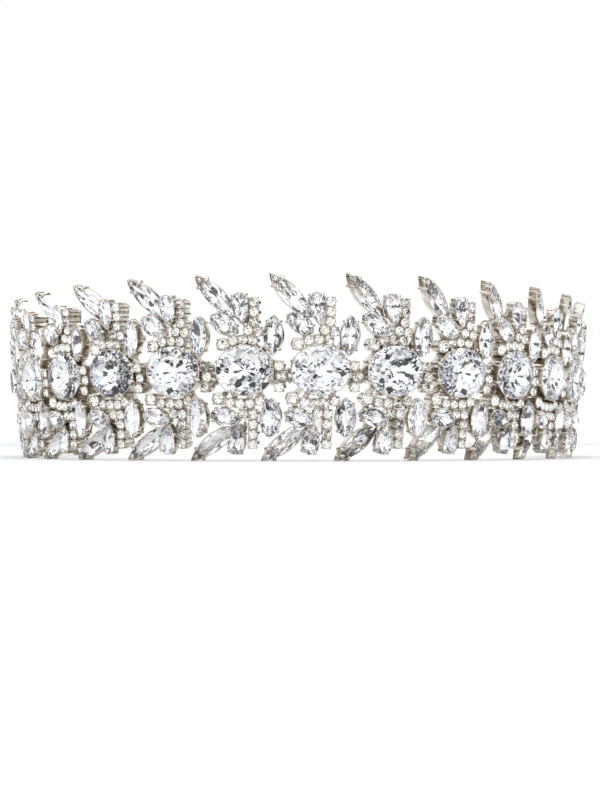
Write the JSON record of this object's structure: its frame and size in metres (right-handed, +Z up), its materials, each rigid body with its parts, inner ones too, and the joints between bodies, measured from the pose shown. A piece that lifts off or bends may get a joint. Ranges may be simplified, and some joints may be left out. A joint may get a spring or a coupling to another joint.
{
  "type": "crystal headpiece",
  "caption": "Open crystal headpiece: leafy clusters of cut stones in polished silver settings on a doubled wire band that ends in a tie eye on each side.",
  "frame": {"origin": "on the surface that it rests on, under the middle of its bounding box", "axes": "+Z up, the way the clusters stand; the front of the headpiece faces -Y and its open back +Y; +X is to the right of someone who looks at the front, which is the wearer's left"},
  "size_m": [0.1768, 0.1422, 0.0455],
  "materials": {
    "setting_silver": "cast, rhodium-plated and polished",
    "wire_silver": "drawn wire, wrapped with fine wire and rhodium-plated",
    "oval_crystal": "clear faceted crystal with a foiled back",
    "side_crystal": "clear faceted crystal with a foiled back",
    "round_crystal": "small clear faceted crystal that takes the warm colour of its cup"
  },
  "bodies": {
    "root": {"band": "wire_silver", "left_eye": "wire_silver", "right_eye": "wire_silver", "setting_1": "setting_silver", "setting_2": "setting_silver", "setting_3": "setting_silver", "setting_4": "setting_silver", "setting_5": "setting_silver", "setting_6": "setting_silver", "setting_7": "setting_silver", "setting_8": "setting_silver", "setting_9": "setting_silver", "setting_10": "setting_silver", "setting_11": "setting_silver", "setting_12": "setting_silver", "setting_13": "setting_silver", "setting_14": "setting_silver", "setting_15": "setting_silver", "setting_16": "setting_silver", "setting_17": "setting_silver", "setting_18": "setting_silver", "oval_stone_1": "oval_crystal", "oval_stone_2": "oval_crystal", "oval_stone_3": "oval_crystal", "oval_stone_4": "oval_crystal", "oval_stone_5": "oval_crystal", "oval_stone_6": "oval_crystal", "oval_stone_7": "oval_crystal", "oval_stone_8": "oval_crystal", "oval_stone_9": "oval_crystal", "oval_stone_10": "oval_crystal", "oval_stone_11": "oval_crystal", "oval_stone_12": "oval_crystal", "oval_stone_13": "oval_crystal", "oval_stone_14": "oval_crystal", "oval_stone_15": "oval_crystal", "oval_stone_16": "oval_crystal", "oval_stone_17": "oval_crystal", "oval_stone_18": "oval_crystal", "upper_long_stones": "side_crystal", "lower_long_stones": "side_crystal", "upper_navette_stones": "side_crystal", "lower_navette_stones": "side_crystal", "upper_pear_stones": "side_crystal", "lower_pear_stones": "side_crystal", "round_stones": "round_crystal"}
  },
  "joints": []
}
